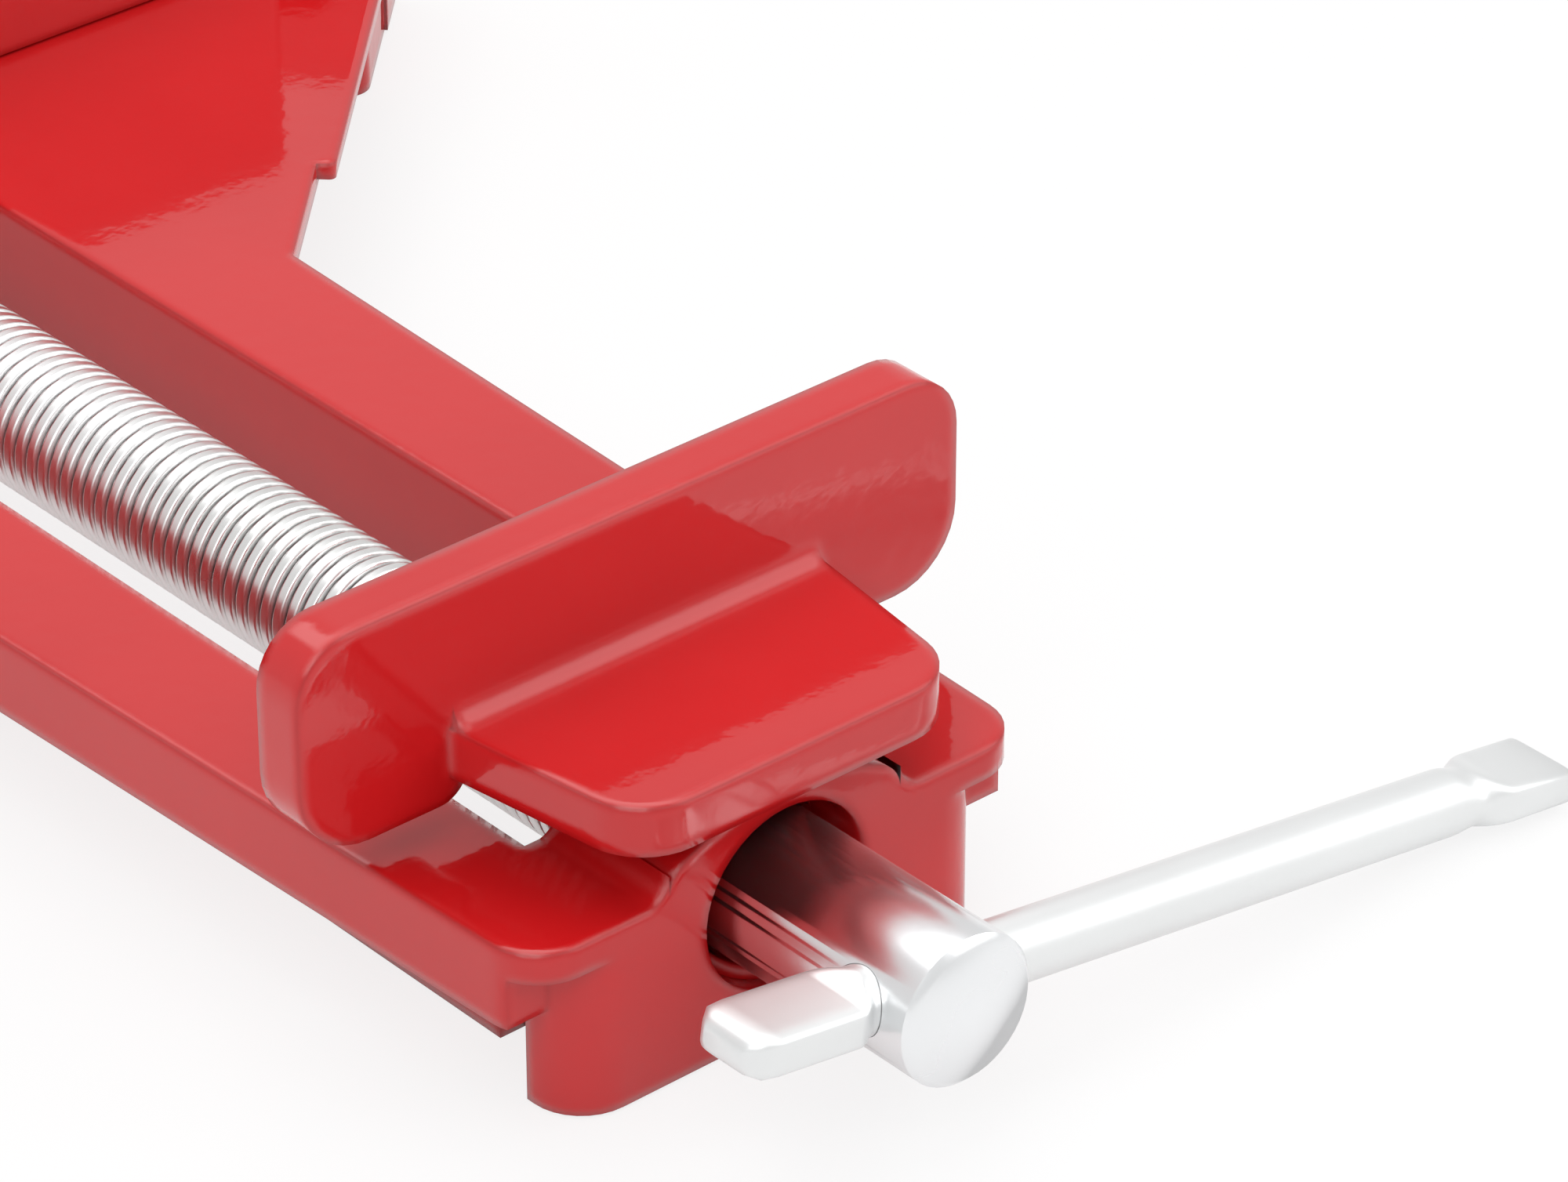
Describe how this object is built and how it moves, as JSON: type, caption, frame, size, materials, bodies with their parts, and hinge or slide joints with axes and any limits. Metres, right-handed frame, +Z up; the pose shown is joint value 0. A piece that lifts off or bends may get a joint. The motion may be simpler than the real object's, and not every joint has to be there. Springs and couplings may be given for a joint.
{
  "type": "corner clamp",
  "caption": "Corner clamp: cast frame with right-angle fences, a triangular jaw on a hand-turned spindle and a swivelling nut block with an upright plate.",
  "frame": {"origin": "on the bench, below the corner where the two fence faces meet", "axes": "+X along the spindle towards the handle, +Z up from the bench"},
  "size_m": [0.3257, 0.2158, 0.0486],
  "materials": {
    "red_paint": "gloss",
    "bright_chrome": "polished",
    "steel": "satin"
  },
  "bodies": {
    "frame": {"base_casting": "red_paint"},
    "nut": {"nut_block": "red_paint"},
    "shoe": {"swivel_shoe": "steel", "thrust_disc": "steel", "tip_pins": "steel", "jaw_washer": "steel", "jaw_screw": "steel"},
    "jaw": {"moving_jaw": "red_paint"},
    "screw": {"spindle": "bright_chrome"},
    "handle": {"tommy_bar": "bright_chrome"}
  },
  "joints": [
    {"name": "nut_swing", "type": "hinge", "parent": "frame", "child": "nut", "pos_m": [0.2785, 0, 0.015], "axis": [0, 0, 1], "range_deg": [-2, 2]},
    {"name": "jaw_travel", "type": "slide", "parent": "nut", "child": "shoe", "axis": [1, 0, 0], "range_m": [-0.008, 0.148]},
    {"name": "jaw_swing", "type": "hinge", "parent": "shoe", "child": "jaw", "pos_m": [0.089, 0, 0.03], "axis": [0, 0, 1], "range_deg": [-2, 2]},
    {"name": "spindle_turn", "type": "hinge", "parent": "shoe", "child": "screw", "pos_m": [0.2, 0, 0.015], "axis": [1, 0, 0], "range_deg": [-1441, 26641]},
    {"name": "bar_slide", "type": "slide", "parent": "screw", "child": "handle", "axis": [0, 0.989, -0.1478], "range_m": [-0.0655, 0]}
  ],
  "couplings": [
    {"joint": "spindle_turn", "follows": "jaw_travel", "rad_per_m": 3141.6}
  ]
}
